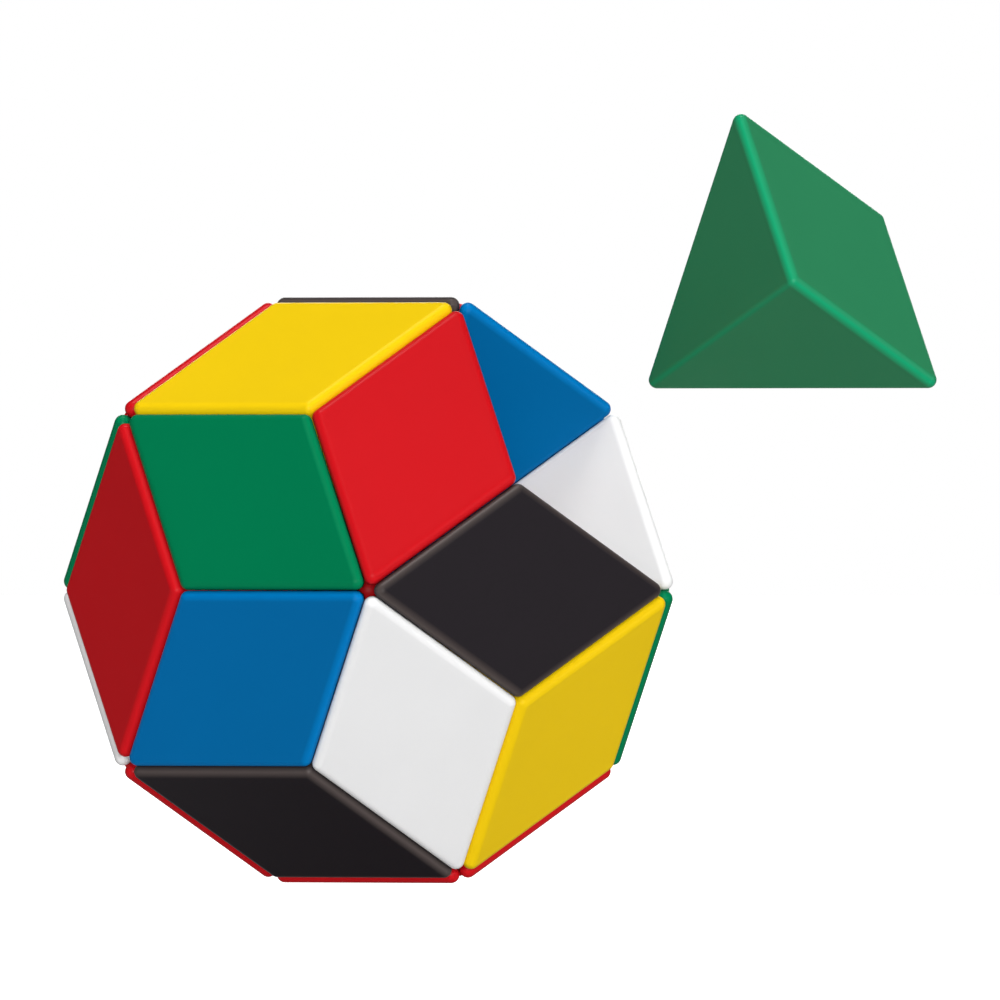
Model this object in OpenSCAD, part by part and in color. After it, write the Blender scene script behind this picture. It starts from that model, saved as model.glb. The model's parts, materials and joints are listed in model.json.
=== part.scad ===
// Ball puzzle of thirty loose magnetic blocks.
// Each block is a pyramid whose base is a golden rhombus and whose tip points to the ball's centre.
// The thirty bases close up into a rhombic triacontahedron. One block is drawn pulled straight out.
// A small core ball fills the room that the rounded tips leave at the centre.

/* [Ball] */
// Length of every edge of a block's rhombic base
edge = 30; // [24:0.5:40]
// How far the loose block is pulled out of its socket, along its own axis
pull_out = 55.1; // [0:0.1:90]

/* [Block shell] */
// Radius of the rounding along every edge and corner of a block
edge_round = 1.2; // [0.8:0.1:2]
// Gap between the side walls of two neighbouring blocks
seat_gap = 0.1; // [0.04:0.02:0.3]
// Thickness of a block's side walls
wall = 1.8; // [1.4:0.1:2.4]
// Width of the weld line between the hollow moulding and its cap
weld_line = 0.04; // [0.02:0.01:0.1]

/* [Cap] */
// Distance from the end of the rim's rounding down to the weld line
cap_side = 0.3; // [0.2:0.1:1]
// Depth of the locating skirt under the cap
skirt_depth = 1.6; // [1:0.1:2]
// Thickness of the skirt
skirt_wall = 1.2; // [1:0.1:1.6]
// Clearance between the skirt and the moulding's mouth
skirt_clearance = 0.1; // [0.05:0.05:0.2]

/* [Magnets] */
// Diameter of a disc magnet
magnet_d = 6; // [4:0.5:6]
// Thickness of a disc magnet
magnet_t = 2; // [1:0.5:2]
// Radial clearance between a magnet and its pocket
pocket_clearance = 0.05; // [0.02:0.01:0.1]
// Plastic left between a magnet and the outside of the wall
magnet_cover = 0.9; // [0.6:0.1:1.2]
// Wall of the boss that forms a pocket
boss_wall = 1.1; // [0.8:0.1:1.2]
// How far out a magnet sits, as a share of the block's height
magnet_reach = 0.72; // [0.68:0.01:0.74]
// How far a magnet sits from the sharp corner to the blunt corner of its wall, as a share of the edge
magnet_share = 0.64; // [0.6:0.01:0.68]

/* [Core] */
// Gap between the core ball and the tips of the blocks round it
core_gap = 0.1; // [0.04:0.02:0.3]

/* [Hidden] */
// Sides of the rounding balls: the count of their rings is odd, so one vertex points straight out
ROUND_FN = 14;
CURVE_FN = 48;
EPS = 0.01;
// How far the skirt runs into the cap
SKIRT_BITE = 0.2;

// Golden rhombus and the ball made of thirty of them
golden = (1 + sqrt(5)) / 2;
half_long = edge * golden / sqrt(golden + 2);
half_short = half_long / golden;
height = edge * golden * golden / sqrt(golden + 2);

// Angles of the ball: polar angle of each ring of blocks from the ball's front five-way corner
wall_tilt = 18;
front_ring = atan(1 / golden);
shoulder_ring = 90 - front_ring;
belt_ring = 90;

// One block, tip at its own origin and base facing +Z
wall_offset = seat_gap / 2;
ball_tip = (edge_round + wall_offset) / sin(wall_tilt);
ball_base = height - edge_round;
seam = height - edge_round * (1 + sin(wall_tilt)) - cap_side;
cavity_tip = (wall_offset + wall) / sin(wall_tilt);
skirt_tip = cavity_tip + skirt_clearance / sin(wall_tilt);
skirt_end = seam - skirt_depth;
wall_heading = atan(golden);

core_r = ball_tip - edge_round - core_gap;

magnet_z = height * magnet_reach;
boss_r = magnet_d / 2 + pocket_clearance + boss_wall;
boss_depth = magnet_cover + magnet_t + EPS;
pocket_r = magnet_d / 2 + pocket_clearance;

PLASTIC = [
    ["black", [0.13, 0.12, 0.13]],
    ["red", [0.85, 0.12, 0.15]],
    ["green", [0.00, 0.47, 0.30]],
    ["blue", [0.00, 0.38, 0.60]],
    ["white", [0.90, 0.90, 0.91]],
    ["yellow", [0.95, 0.80, 0.09]]
];
NICKEL = [0.78, 0.77, 0.74];

// Each ring: polar angle, heading of its first block, turn of the long diagonal, alternating turn, colours
RINGS = [
    [front_ring, 0, 0, 0, ["black", "red", "green", "blue", "white"]],
    [shoulder_ring, 36, 90, 0, ["green", "yellow", "red", "black", "yellow"]],
    [
        belt_ring, 18, 0, front_ring,
        ["white", "blue", "black", "red", "green", "white", "red", "red", "red", "green"]
    ],
    [180 - shoulder_ring, 0, 90, 0, ["green", "red", "red", "red", "red"]],
    [180 - front_ring, 36, 0, 0, ["blue", "yellow", "red", "red", "white"]]
];
LOOSE_RING = 1;
LOOSE_PLACE = 0;
CORE_RING = 2;
CORE_PLACE = 7;

// Flat list of the thirty blocks: [polar, heading, spin, colour, is loose, carries the core ball]
BLOCKS = [
    for (r = [0 : len(RINGS) - 1], k = [0 : len(RINGS[r][4]) - 1])
        [
            RINGS[r][0],
            RINGS[r][1] + k * 360 / len(RINGS[r][4]),
            RINGS[r][2] + RINGS[r][3] * (k % 2 == 0 ? 1 : -1),
            RINGS[r][4][k],
            r == LOOSE_RING && k == LOOSE_PLACE,
            r == CORE_RING && k == CORE_PLACE
        ]
];

// Blocks are named by colour and by their count within that colour, in the order above
function count_before(i) = len([for (j = [0 : 1 : i - 1]) if (BLOCKS[j][3] == BLOCKS[i][3]) j]);
function block_name(i) = str(BLOCKS[i][3], "_", count_before(i) + 1);
function plastic(name) = [for (p = PLASTIC) if (p[0] == name) p[1]][0];

// Corners, at height z, of the pyramid that is parallel to the block's walls and has its tip at height tip
function rhombus(tip, z) =
    let (share = (z - tip) / height, x = half_long * share, y = half_short * share)
    [[x, 0], [0, y], [-x, 0], [0, -y]];

// A rounding ball with one vertex straight out along +Z, which keeps the base face exactly flat
module rounding_ball(at) {
    translate(at) rotate([0, -90, 0]) sphere(r = edge_round, $fn = ROUND_FN);
}

// Outer form of a block: the sharp pyramid with every edge and corner rounded
module outer_form() {
    hull() {
        rounding_ball([0, 0, ball_tip]);
        for (corner = rhombus(ball_tip, ball_base))
            rounding_ball([corner.x, corner.y, ball_base]);
    }
}

// Sharp hollow inside the side walls, open past the seam
module cavity(top) {
    corners = rhombus(cavity_tip, top);
    polyhedron(
        points = concat([[0, 0, cavity_tip]], [for (c = corners) [c.x, c.y, top]]),
        faces = [[0, 1, 2], [0, 2, 3], [0, 3, 4], [0, 4, 1], [4, 3, 2, 1]]
    );
}

// Moves its children onto the inside of each side wall, with their +Z pointing out through the wall
module on_each_wall() {
    x = half_long * (1 - magnet_share) * magnet_reach;
    y = half_short * magnet_share * magnet_reach;
    for (sx = [1, -1], sy = [1, -1])
        translate([sx * x, sy * y, magnet_z])
            rotate([0, 90 + wall_tilt, atan2(sy * sin(wall_heading), sx * cos(wall_heading))])
                children();
}

// Boss that stands on the inside of a wall and holds one magnet
module boss() {
    translate([0, 0, -wall_offset - boss_depth])
        cylinder(r = boss_r, h = boss_depth - wall / 2, $fn = CURVE_FN);
}

module pocket() {
    translate([0, 0, -wall_offset - boss_depth - EPS])
        cylinder(r = pocket_r, h = boss_depth + EPS - magnet_cover, $fn = CURVE_FN);
}

module magnet() {
    translate([0, 0, -wall_offset - magnet_cover - magnet_t])
        cylinder(d = magnet_d, h = magnet_t, $fn = CURVE_FN);
}

// Slab that keeps what lies between two heights
module between(z0, z1) {
    translate([-edge, -edge, z0]) cube([2 * edge, 2 * edge, z1 - z0]);
}

// Hollow pyramid moulding, open at the seam
module moulding() {
    difference() {
        union() {
            difference() {
                intersection() {
                    outer_form();
                    between(0, seam);
                }
                cavity(seam + 1);
            }
            on_each_wall() boss();
        }
        on_each_wall() pocket();
    }
}

// Rhombic cap with the rounded rim, and the skirt that locates it in the moulding's mouth
module cap() {
    intersection() {
        outer_form();
        between(seam + weld_line, height + 1);
    }
    translate([0, 0, skirt_end])
        linear_extrude(skirt_depth + weld_line + SKIRT_BITE)
            difference() {
                polygon(rhombus(skirt_tip, skirt_end));
                polygon(rhombus(skirt_tip + skirt_wall / sin(wall_tilt), skirt_end));
            }
}

module shell() {
    moulding();
    cap();
}

// Ball at the point where all the tips would meet, glued to the tip of the bottom block
module core() {
    sphere(r = core_r, $fn = CURVE_FN);
}

module magnets() {
    on_each_wall() magnet();
}

// Puts a block's own frame into the ball: the front five-way corner faces -Y, the ball stands on z = 0
module place(block) {
    translate([0, 0, height])
        rotate([90, 0, 0])
            rotate([0, block[0], block[1]])
                translate([0, 0, block[4] ? pull_out : 0])
                    rotate([0, 0, block[2]])
                        children();
}

for (i = [0 : len(BLOCKS) - 1]) {
    place(BLOCKS[i]) color(plastic(BLOCKS[i][3])) {
            shell();
            if (BLOCKS[i][5]) core();
        }
    place(BLOCKS[i]) color(NICKEL) magnets();
}
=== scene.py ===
"""Ball puzzle of thirty loose magnetic blocks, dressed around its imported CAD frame. Metres, +Z up.

Each block's CAD shell is replaced by a finely rounded moulding and cap, and its magnets get nickel plating.
The small core ball, which the CAD keeps in the bottom block's shell, is a piece of its own.
"""

import json
import math

import bpy
from mathutils import Matrix, Vector

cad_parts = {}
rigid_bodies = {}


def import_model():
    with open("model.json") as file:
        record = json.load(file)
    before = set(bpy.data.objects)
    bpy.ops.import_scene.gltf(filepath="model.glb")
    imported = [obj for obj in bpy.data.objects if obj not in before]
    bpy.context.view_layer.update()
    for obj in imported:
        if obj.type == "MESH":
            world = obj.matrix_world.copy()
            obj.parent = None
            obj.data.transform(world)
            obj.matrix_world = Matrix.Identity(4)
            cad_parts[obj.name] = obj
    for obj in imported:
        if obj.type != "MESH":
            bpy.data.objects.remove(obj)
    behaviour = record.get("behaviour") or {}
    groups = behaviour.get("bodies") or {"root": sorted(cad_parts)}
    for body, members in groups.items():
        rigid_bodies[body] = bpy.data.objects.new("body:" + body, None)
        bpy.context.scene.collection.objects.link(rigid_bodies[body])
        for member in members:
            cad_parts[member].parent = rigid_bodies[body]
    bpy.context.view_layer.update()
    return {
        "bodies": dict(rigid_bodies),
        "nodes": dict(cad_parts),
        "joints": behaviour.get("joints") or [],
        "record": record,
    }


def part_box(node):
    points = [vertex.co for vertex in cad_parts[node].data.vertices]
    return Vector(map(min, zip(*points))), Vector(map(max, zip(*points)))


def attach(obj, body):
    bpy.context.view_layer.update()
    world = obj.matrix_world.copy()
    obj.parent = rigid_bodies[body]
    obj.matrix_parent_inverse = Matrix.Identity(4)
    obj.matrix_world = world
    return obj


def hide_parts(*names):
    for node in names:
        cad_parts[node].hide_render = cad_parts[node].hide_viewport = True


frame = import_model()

MM = 0.001
GOLDEN = (1 + math.sqrt(5)) / 2
# How far a block's side walls lean out from its axis
WALL_TILT = math.radians(18)

# The block's own sizes, the same as the CAD part's
EDGE_ROUND = 1.2 * MM
SEAT_GAP = 0.1 * MM
WALL = 1.8 * MM
CAP_SIDE = 0.3 * MM
SKIRT_DEPTH = 1.6 * MM
SKIRT_WALL = 1.2 * MM
SKIRT_CLEARANCE = 0.1 * MM
CORE_GAP = 0.1 * MM

# The weld line between moulding and cap shows as a hair-fine V groove
GROOVE_HALF = 0.03 * MM
GROOVE_DEPTH = 0.05 * MM

# Steps in each arc of rounding, and the distance within which two points are one
ARC_STEPS = 16
WELD_POINTS = 1e-7

# Two directions are square on when their cosine is below this
SQUARE_ON = 0.01

# Ends of the names of a block's two CAD nodes
SHELL = "_shell"
MAGNETS = "_magnets"


# ---- The frame: where each block sits ----

def outward_axes():
    """Each body's outward direction: its slide's axis, or the rest face's for the bottom block."""
    axes = {joint["child"]: Vector(joint["axis"]).normalized() for joint in frame["joints"]}
    axes[BOTTOM] = Vector(frame["record"]["mounts"][0]["axis"])
    return axes


def pulled_out(body):
    """How far a body stands out of its socket at rest: as far as its slide can go back."""
    return next((-j["range_m"][0] for j in frame["joints"] if j["child"] == body), 0.0)


def reach(shell, direction):
    return max(point.co.dot(direction) for point in frame["nodes"][shell].data.vertices)


def long_diagonal(body, axes):
    """A block's long diagonal: of the axes square on to its own, the one its shell reaches furthest along."""
    square_on = [axis for axis in axes.values() if abs(axis.dot(axes[body])) < SQUARE_ON]
    return max(square_on, key=lambda axis: reach(body + SHELL, axis) - CENTRE.dot(axis))


def placing(body, axes):
    """Matrix from a block's own frame, tip at the origin and base facing +Z, to the object's frame."""
    outward = axes[body]
    long_way = long_diagonal(body, axes)
    turn = Matrix((long_way, outward.cross(long_way), outward)).transposed().to_4x4()
    return Matrix.Translation(CENTRE + outward * pulled_out(body)) @ turn


SLIDING = {joint["child"] for joint in frame["joints"]}
BOTTOM = next(body for body in frame["bodies"] if body not in SLIDING)
AXES = outward_axes()
SEATED = [body for body in AXES if pulled_out(body) == 0]
HEIGHT = max(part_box(body + SHELL)[1].z for body in SEATED) / 2
CENTRE = Vector((0, 0, HEIGHT))
EDGE = HEIGHT * math.sqrt(GOLDEN + 2) / GOLDEN**2
HALF_LONG = EDGE * GOLDEN / math.sqrt(GOLDEN + 2)
HALF_SHORT = HALF_LONG / GOLDEN


# ---- The block's own geometry ----

def rhombus(tip, z):
    """Corners, at height z, of the pyramid parallel to the block's walls with its tip at height tip."""
    share = (z - tip) / HEIGHT
    x, y = HALF_LONG * share, HALF_SHORT * share
    return [Vector(corner) for corner in ((x, 0, z), (0, y, z), (-x, 0, z), (0, -y, z))]


def wall_normals():
    """Outward normals of the four side walls, in order round the block, each between two corners."""
    heading = math.atan(GOLDEN)
    flat, down = math.cos(WALL_TILT), -math.sin(WALL_TILT)
    x, y = flat * math.cos(heading), flat * math.sin(heading)
    return [Vector((sx * x, sy * y, down)) for sx, sy in ((1, 1), (-1, 1), (-1, -1), (1, -1))]


WALL_OFFSET = SEAT_GAP / 2
BALL_TIP = Vector((0, 0, (EDGE_ROUND + WALL_OFFSET) / math.sin(WALL_TILT)))
BALL_BASE = rhombus(BALL_TIP.z, HEIGHT - EDGE_ROUND)
SEAM = HEIGHT - EDGE_ROUND * (1 + math.sin(WALL_TILT)) - CAP_SIDE
CAVITY_TIP = (WALL_OFFSET + WALL) / math.sin(WALL_TILT)
CORE_RADIUS = BALL_TIP.z - EDGE_ROUND - CORE_GAP
WALLS = wall_normals()
UP = Vector((0, 0, 1))
DOWN = -UP
FLATS = [*WALLS, UP]
# From the normal of the base, or of a wall, to the crest of the rim's rounding between them
CREST_TURN = (math.pi / 2 + WALL_TILT) / 2


def roundness(normal):
    """0 on a flat face and 1 at the crest of a rounded edge."""
    return min(min(normal.angle(flat) for flat in FLATS) / CREST_TURN, 1.0)


class Surface:
    """Faces gathered one by one. Points that coincide are shared, and each corner keeps its exact normal."""

    def __init__(self):
        self.index = {}
        self.points = []
        self.edge_mask = []
        self.faces = []
        self.normals = []

    def point(self, at, mask):
        key = tuple(round(value / WELD_POINTS) for value in at)
        if key not in self.index:
            self.index[key] = len(self.points)
            self.points.append(at)
            self.edge_mask.append(mask)
        return self.index[key]

    def face(self, corners, rounded=True):
        """corners are (point, normal). The face is wound so that it looks the way its normals point."""
        ring = []
        for at, normal in corners:
            number = self.point(at, roundness(normal) if rounded else 0.0)
            if number not in [n for n, _ in ring]:
                ring.append((number, normal))
        if len(ring) < 3:
            return
        a, b, c = (self.points[ring[k][0]] for k in (0, 1, 2))
        looks = (b - a).cross(c - a)
        if looks.dot(sum((normal for _, normal in ring), Vector())) < 0:
            ring.reverse()
        self.faces.append([number for number, _ in ring])
        self.normals += [normal for _, normal in ring]

    def flat(self, points, normal):
        self.face([(at, normal) for at in points], rounded=False)

    def band(self, lower, upper, normal=None):
        """Closed band between two rings of (point, normal) with as many points each."""
        for k in range(len(lower)):
            corners = [lower[k - 1], lower[k], upper[k], upper[k - 1]]
            if normal:
                self.flat([at for at, _ in corners], normal)
            else:
                self.face(corners)

    def ball_patch(self, centre, north, south, radius=EDGE_ROUND, rounded=True):
        """Part of a ball between two arcs of normals with as many steps each."""
        steps = len(north) - 1
        rows = [[a.slerp(b, v / steps) for a, b in zip(north, south)] for v in range(steps + 1)]
        on_ball = [[(centre + normal * radius, normal) for normal in row] for row in rows]
        for v in range(steps):
            for u in range(steps):
                corners = [on_ball[v][u], on_ball[v][u + 1], on_ball[v + 1][u + 1], on_ball[v + 1][u]]
                self.face(corners, rounded)

    def mesh(self, name, matrix):
        turn = matrix.to_3x3()
        made = bpy.data.meshes.new(name)
        made.from_pydata([matrix @ at for at in self.points], [], self.faces)
        made.polygons.foreach_set("use_smooth", [True] * len(self.faces))
        made.normals_split_custom_set([turn @ normal for normal in self.normals])
        mask = made.attributes.new("edge_mask", "FLOAT", "POINT")
        mask.data.foreach_set("value", self.edge_mask)
        return made


def arc(start, end):
    """Normals from start to end, in even steps."""
    return [start.slerp(end, step / ARC_STEPS) for step in range(ARC_STEPS + 1)]


def corner_arcs():
    """For each corner of the base, the normals that turn round its lateral edge from wall to wall."""
    return [arc(WALLS[k - 1], WALLS[k]) for k in range(4)]


def side_ring(z):
    """Ring of (point, normal) round the outside at height z, between the tip's rounding and the rim's."""
    ring = []
    for ball, normals in zip(BALL_BASE, corner_arcs()):
        for normal in normals:
            low, high = BALL_TIP + normal * EDGE_ROUND, ball + normal * EDGE_ROUND
            ring.append((low.lerp(high, (z - low.z) / (high.z - low.z)), normal))
    return ring


def pressed_in(ring, z):
    """The same ring at height z, pulled in by the depth of the weld line's groove."""
    pressed = []
    for at, normal in ring:
        inward = -Vector((normal.x, normal.y, 0)).normalized()
        pressed.append((Vector((at.x, at.y, z)) + inward * GROOVE_DEPTH, normal))
    return pressed


def rim_across(made, outer, inner, normal):
    """Flat rim between a side ring and a rhombus inside it."""
    per_corner = ARC_STEPS + 1
    for k in range(4):
        points = [at for at, _ in outer[k * per_corner : (k + 1) * per_corner]]
        for a, b in zip(points, points[1:]):
            made.flat([a, b, inner[k]], normal)
        after = outer[((k + 1) * per_corner) % len(outer)][0]
        made.flat([points[-1], after, inner[(k + 1) % 4], inner[k]], normal)


def moulding_surface():
    """Hollow pyramid, open at the seam."""
    made = Surface()
    arcs = corner_arcs()
    made.ball_patch(BALL_TIP, arcs[0][::-1], arcs[2])
    tip_ring = [(BALL_TIP + n * EDGE_ROUND, n) for normals in arcs for n in normals]
    below = side_ring(SEAM - GROOVE_HALF)
    made.band(tip_ring, below)
    lip = pressed_in(below, SEAM)
    made.band(below, lip)
    mouth = rhombus(CAVITY_TIP, SEAM)
    rim_across(made, lip, mouth, UP)
    for k in range(4):
        made.flat([Vector((0, 0, CAVITY_TIP)), mouth[k - 1], mouth[k]], -WALLS[k - 1])
    return made


def cap_surface():
    """Rhombic cap: rounded rim, flat outer face, and the skirt that locates it in the moulding."""
    made = Surface()
    above = side_ring(SEAM + GROOVE_HALF)
    lip = pressed_in(above, SEAM)
    arcs = corner_arcs()
    top_ring = [(ball + n * EDGE_ROUND, n) for ball, normals in zip(BALL_BASE, arcs) for n in normals]
    made.band(lip, above)
    made.band(above, top_ring)
    for k, normals in enumerate(arcs):
        made.ball_patch(BALL_BASE[k], normals, [UP] * len(normals))
        here, after = BALL_BASE[k], BALL_BASE[(k + 1) % 4]
        over = arc(WALLS[k], UP)
        for a, b in zip(over, over[1:]):
            corners = [(here, a), (after, a), (after, b), (here, b)]
            made.face([(at + n * EDGE_ROUND, n) for at, n in corners])
    made.flat([ball + UP * EDGE_ROUND for ball in BALL_BASE], UP)
    skirt_and_ceiling(made, lip)
    return made


def skirt_and_ceiling(made, lip):
    """The cap's underside: rim, skirt outside, skirt end, skirt inside and ceiling."""
    low = SEAM - SKIRT_DEPTH
    offset = SKIRT_CLEARANCE / math.sin(WALL_TILT)
    outside = rhombus(CAVITY_TIP + offset, low)
    inside = rhombus(CAVITY_TIP + offset + SKIRT_WALL / math.sin(WALL_TILT), low)
    rise = UP * SKIRT_DEPTH
    rim_across(made, lip, [at + rise for at in outside], DOWN)
    for k in range(4):
        outward = Vector((WALLS[k - 1].x, WALLS[k - 1].y, 0)).normalized()
        a, b, c, d = outside[k - 1], outside[k], inside[k], inside[k - 1]
        made.flat([a, b, b + rise, a + rise], outward)
        made.flat([a, b, c, d], DOWN)
        made.flat([d, c, c + rise, d + rise], -outward)
    made.flat([at + rise for at in inside], DOWN)


def cube_corner(turn, *signs):
    """Direction of a cube's corner, with the cube's three axes turned round by so many steps."""
    return Vector([signs[(k + turn) % 3] for k in range(3)]).normalized()


def core_surface():
    """Core ball at the centre: six patches of a sphere, each between four corners of a cube."""
    made = Surface()
    for turn in range(3):
        for side in (1, -1):
            a, b, c, d = (cube_corner(turn, x, y, side) for x, y in ((1, 1), (-1, 1), (-1, -1), (1, -1)))
            made.ball_patch(Vector(), arc(a, b), arc(d, c), CORE_RADIUS, rounded=False)
    return made


# ---- Materials ----

# Each plastic's colour, the colour painted on its rounded edges as a highlight (a faint painted shade for
# yellow), and how strongly its surface mirrors light
COLOURS = {
    "black": ((0.012, 0.009, 0.012), (0.080, 0.064, 0.060), 0.12),
    "red": ((0.52, 0.005, 0.009), (0.62, 0.007, 0.012), 0.10),
    "green": ((0.0, 0.166, 0.064), (0.0, 0.205, 0.078), 0.06),
    "pale_green": ((0.024, 0.208, 0.088), (0.002, 0.320, 0.138), 0.18),
    "blue": ((0.0, 0.128, 0.352), (0.0, 0.185, 0.510), 0.06),
    "white": ((0.78, 0.78, 0.785), (0.90, 0.90, 0.90), 0.25),
    "yellow": ((0.86, 0.58, 0.004), (0.84, 0.56, 0.004), 0.08),
}
# The loose block gets a lighter, hazier copy of the green: painted haze and brightening that stand in for the
# sheen of light on its faces
LOOSE_HAZED_GREEN = "pale_green"

# All plastics: refraction, how far flow marks change the colour, roughness where smooth and where smudged,
# how much smoother polished edges are, and the grain's strength and depth
PLASTIC_IOR = 1.46
FLOW_MARKS = 0.03
SMOOTH, SMUDGED = 0.36, 0.44
EDGE_POLISH = 0.05
GRAIN_STRENGTH = 0.06
GRAIN_DEPTH = 0.02 * MM

# The plating: darker and paler nickel, roughness of each, and the pressing marks' strength and depth
NICKEL_DARK, NICKEL_PALE = (0.60, 0.58, 0.53), (0.78, 0.77, 0.73)
NICKEL_BRIGHT, NICKEL_DULL = 0.12, 0.28
PRESSING_STRENGTH = 0.1
PRESSING_DEPTH = 0.01 * MM


class Tree:
    """Adds, fills in and links the nodes of one material's or world's tree."""

    def __init__(self, owner):
        owner.use_nodes = True
        self.nodes = owner.node_tree.nodes
        self.links = owner.node_tree.links

    def add(self, kind, values=None, **properties):
        """A node with its properties set, and each input filled in with a value or linked to a socket."""
        node = self.nodes.new(kind)
        for name, value in properties.items():
            setattr(node, name, value)
        for name, value in (values or {}).items():
            self.fill(node.inputs[name], value)
        return node

    def fill(self, target, value):
        if isinstance(value, bpy.types.NodeSocket):
            self.links.new(value, target)
        else:
            target.default_value = value

    def noise(self, place, scale, detail, distortion=0.0):
        values = {"Vector": place, "Scale": scale, "Detail": detail, "Distortion": distortion}
        return self.add("ShaderNodeTexNoise", values).outputs["Fac"]

    def between(self, share, low, high):
        """The colour that lies share of the way from low to high."""
        node = self.add("ShaderNodeMix", data_type="RGBA")
        for identifier, value in (("Factor_Float", share), ("A_Color", low), ("B_Color", high)):
            self.fill(next(i for i in node.inputs if i.identifier == identifier), value)
        return next(o for o in node.outputs if o.identifier == "Result_Color")

    def ramp(self, value, low, high, start=0.0, end=1.0):
        """value's stretch from start to end, spread evenly from low to high."""
        values = {"Value": value, "From Min": start, "From Max": end, "To Min": low, "To Max": high}
        return self.add("ShaderNodeMapRange", values).outputs["Result"]

    def sum(self, a, b):
        return self.add("ShaderNodeMath", {0: a, 1: b}, operation="ADD").outputs[0]

    def bump(self, height, strength, distance):
        values = {"Height": height, "Strength": strength, "Distance": distance}
        return self.add("ShaderNodeBump", values).outputs["Normal"]


def shade(colour, share=0.0):
    """The colour, made darker or lighter by share of itself, ready for a colour socket."""
    return [min(channel * (1 + share), 1) for channel in colour] + [1]


def grey(value):
    return shade([value] * 3)


def plastic(name, colour, edge_highlight_colour, mirror):
    """Moulded plastic, coloured right through, with faint flow marks, fine grain, and smoother rounded edges
    that carry a painted highlight colour.
    """
    material = bpy.data.materials.new(name)
    tree = Tree(material)
    shader = tree.nodes["Principled BSDF"]
    shader.inputs["IOR"].default_value = PLASTIC_IOR
    shader.inputs["Specular IOR Level"].default_value = mirror
    place = tree.add("ShaderNodeTexCoord").outputs["Object"]
    edge = tree.add("ShaderNodeAttribute", attribute_name="edge_mask").outputs["Fac"]

    flow = tree.noise(place, scale=55.0, detail=3.0, distortion=0.6)
    marbled = tree.between(flow, shade(colour, -FLOW_MARKS), shade(colour, FLOW_MARKS))
    # Rounded edges blend to the lighter edge colour: a painted highlight where the edges would catch the
    # light
    painted_edge_highlight = tree.between(edge, marbled, shade(edge_highlight_colour))
    tree.fill(shader.inputs["Base Color"], painted_edge_highlight)

    smudges = tree.ramp(tree.noise(place, scale=180.0, detail=4.0), SMOOTH, SMUDGED)
    polish = tree.ramp(edge, 0.0, -EDGE_POLISH)
    tree.fill(shader.inputs["Roughness"], tree.sum(smudges, polish))

    grain = tree.noise(place, scale=2600.0, detail=2.0)
    tree.fill(shader.inputs["Normal"], tree.bump(grain, GRAIN_STRENGTH, GRAIN_DEPTH))
    return material


def nickel(name):
    """Bright nickel plating with faint mottling and pressing marks."""
    material = bpy.data.materials.new(name)
    tree = Tree(material)
    shader = tree.nodes["Principled BSDF"]
    shader.inputs["Metallic"].default_value = 1.0
    place = tree.add("ShaderNodeTexCoord").outputs["Object"]
    mottle = tree.noise(place, scale=700.0, detail=5.0)
    tree.fill(shader.inputs["Base Color"], tree.between(mottle, shade(NICKEL_DARK), shade(NICKEL_PALE)))
    tree.fill(shader.inputs["Roughness"], tree.ramp(mottle, NICKEL_BRIGHT, NICKEL_DULL))
    tree.fill(shader.inputs["Normal"], tree.bump(mottle, PRESSING_STRENGTH, PRESSING_DEPTH))
    return material


# ---- The pieces ----

def add_piece(name, surface, matrix, material, body):
    piece = bpy.data.objects.new(name, surface.mesh(name, matrix))
    bpy.context.scene.collection.objects.link(piece)
    piece.data.materials.append(material)
    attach(piece, body)
    return piece


def add_blocks():
    moulding, cap, core = moulding_surface(), cap_surface(), core_surface()
    plastics = {name: plastic(f"{name}_plastic", *colouring) for name, colouring in COLOURS.items()}
    plating = nickel("magnet_nickel")
    for body in AXES:
        colour = body.split("_")[0]
        # The pulled-out block takes the green copy with painted haze and brightening
        colouring = LOOSE_HAZED_GREEN if pulled_out(body) else colour
        matrix = placing(body, AXES)
        parts = {"moulding": moulding, "cap": cap}
        if body == BOTTOM:
            parts["core"] = core
        for part, surface in parts.items():
            piece = add_piece(f"{body}_{part}", surface, matrix, plastics[colouring], body)
            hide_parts(body + SHELL)
        magnets = frame["nodes"][body + MAGNETS]
        magnets.data.materials.clear()
        magnets.data.materials.append(plating)


# ---- The stage ----

# Light on the object: the sky's own share, and each sun as (towards, strength, softness in degrees).
# All are soft but the narrow headlight, which reaches the core ball through the hole between five corners.
SKY = 0.03
SUNS = {
    "headlight": ((0.0, -1.0, 0.0), 2.0, 1),
    "front": ((0.16, -0.98, 0.10), 1.35, 40),
    "front_right": ((0.55, -0.83, 0.0), 0.6, 40),
    "right": ((0.90, -0.43, 0.0), 0.8, 40),
    "top": ((0.0, -0.05, 1.0), 1.4, 25),
    "top_front": ((0.0, -0.75, 0.66), 0.55, 25),
    "left": ((-0.95, -0.30, 0.10), 0.08, 40),
    "back": ((0.05, 0.97, 0.25), 1.7, 40),
}
# The floor: half its width, how pale it is and how much it glows to the camera, and how pale it is to every
# other ray, which sets how much light it throws back up at the object
FLOOR_HALF = 40.0
FLOOR_SEEN = 0.95
FLOOR_GLOW = 0.85
FLOOR_BOUNCE = 0.46
FLOOR_ROUGHNESS = 0.9

# The camera: lens and sensor in mm, the view's width and its middle's place from the ball's centre in edges,
# and the nearest and farthest distance seen
LENS, SENSOR = 1650.0, 36.0
VIEW_WIDTH = 4.709
AIM = Vector((0.620, 0, 0.423))
NEAREST, FARTHEST = 0.1, 200.0


def lowest_reach():
    """The lowest height that any block gets to when it is pulled right out."""
    return min(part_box(j["child"] + SHELL)[0].z + j["axis"][2] * j["range_m"][1] for j in frame["joints"])


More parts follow.
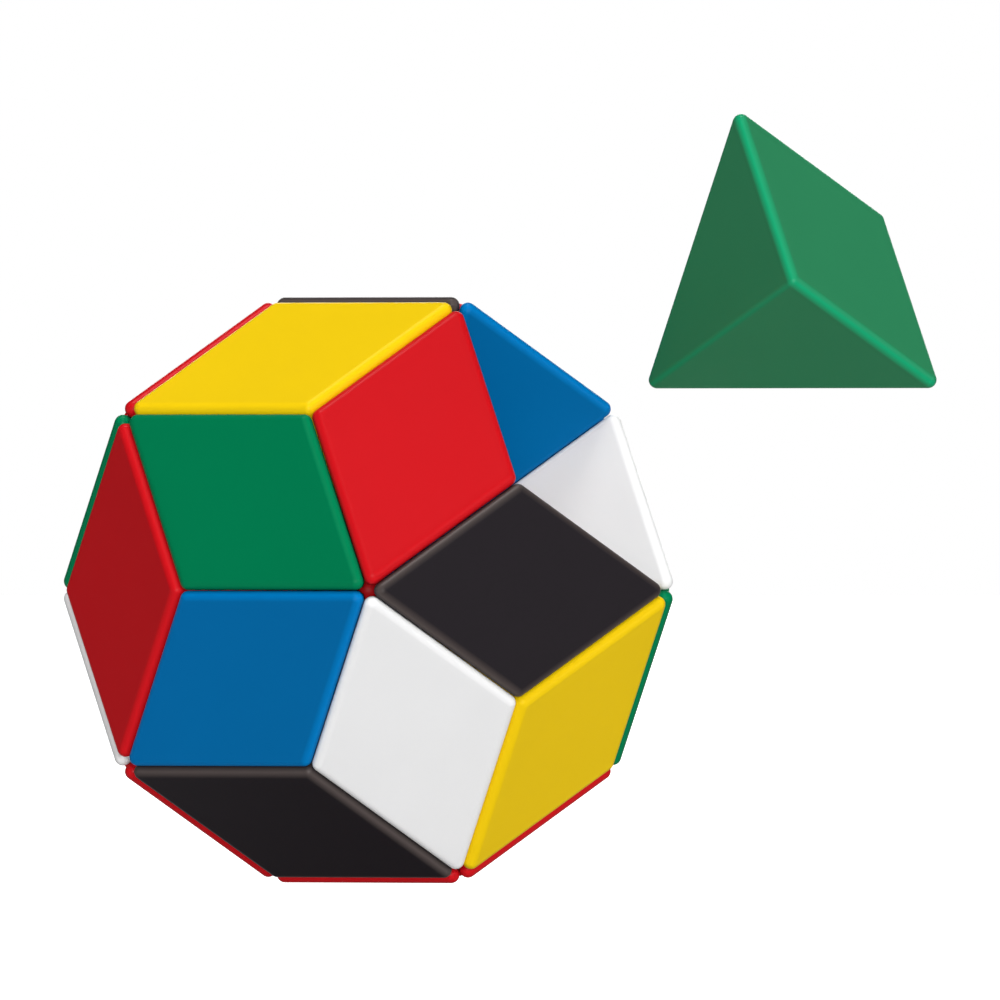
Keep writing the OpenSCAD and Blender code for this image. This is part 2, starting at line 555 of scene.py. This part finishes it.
def add_floor():
    """Plain floor, just low enough that no pulled block sinks into it."""
    material = bpy.data.materials.new("pale_floor")
    tree = Tree(material)
    shader = tree.nodes["Principled BSDF"]
    shader.inputs["Roughness"].default_value = FLOOR_ROUGHNESS
    shader.inputs["Specular IOR Level"].default_value = 0.0
    seen = tree.add("ShaderNodeLightPath").outputs["Is Camera Ray"]
    tree.fill(shader.inputs["Base Color"], tree.between(seen, grey(FLOOR_BOUNCE), grey(FLOOR_SEEN)))
    shader.inputs["Emission Color"].default_value = (1, 1, 1, 1)
    tree.fill(shader.inputs["Emission Strength"], tree.ramp(seen, 0.0, FLOOR_GLOW))
    mesh = bpy.data.meshes.new("floor")
    corners = [(x * FLOOR_HALF, y * FLOOR_HALF, 0) for x, y in ((-1, -1), (1, -1), (1, 1), (-1, 1))]
    mesh.from_pydata(corners, [], [(0, 1, 2, 3)])
    mesh.materials.append(material)
    floor = bpy.data.objects.new("floor", mesh)
    floor.location.z = lowest_reach()
    bpy.context.scene.collection.objects.link(floor)


def add_world():
    """White to the camera, and a dimmer even sky to every other ray."""
    world = bpy.data.worlds.new("studio")
    bpy.context.scene.world = world
    tree = Tree(world)
    background = tree.nodes["Background"]
    seen = tree.add("ShaderNodeLightPath").outputs["Is Camera Ray"]
    background.inputs["Color"].default_value = (1, 1, 1, 1)
    tree.fill(background.inputs["Strength"], tree.ramp(seen, SKY, 1.0))


def add_sun(name, towards, strength, softness):
    """Sun whose light comes from the direction towards."""
    light = bpy.data.lights.new(name, "SUN")
    light.energy = strength
    light.angle = math.radians(softness)
    sun = bpy.data.objects.new(name, light)
    sun.rotation_mode = "QUATERNION"
    sun.rotation_quaternion = Vector(towards).to_track_quat("Z", "Y")
    bpy.context.scene.collection.objects.link(sun)


def add_camera():
    """Level and square to the ball's front five-way corner, from far away."""
    lens = bpy.data.cameras.new("camera")
    lens.lens = LENS
    lens.sensor_width = SENSOR
    lens.clip_start = NEAREST
    lens.clip_end = FARTHEST
    camera = bpy.data.objects.new("camera", lens)
    distance = VIEW_WIDTH * LENS / SENSOR
    camera.location = CENTRE + (AIM + Vector((0, -distance, 0))) * EDGE
    camera.rotation_euler = (math.pi / 2, 0, 0)
    bpy.context.scene.collection.objects.link(camera)
    bpy.context.scene.camera = camera


add_blocks()
add_floor()
add_world()
for name, (towards, strength, softness) in SUNS.items():
    add_sun(name, towards, strength, softness)
add_camera()
bpy.context.scene.view_settings.view_transform = "Standard"
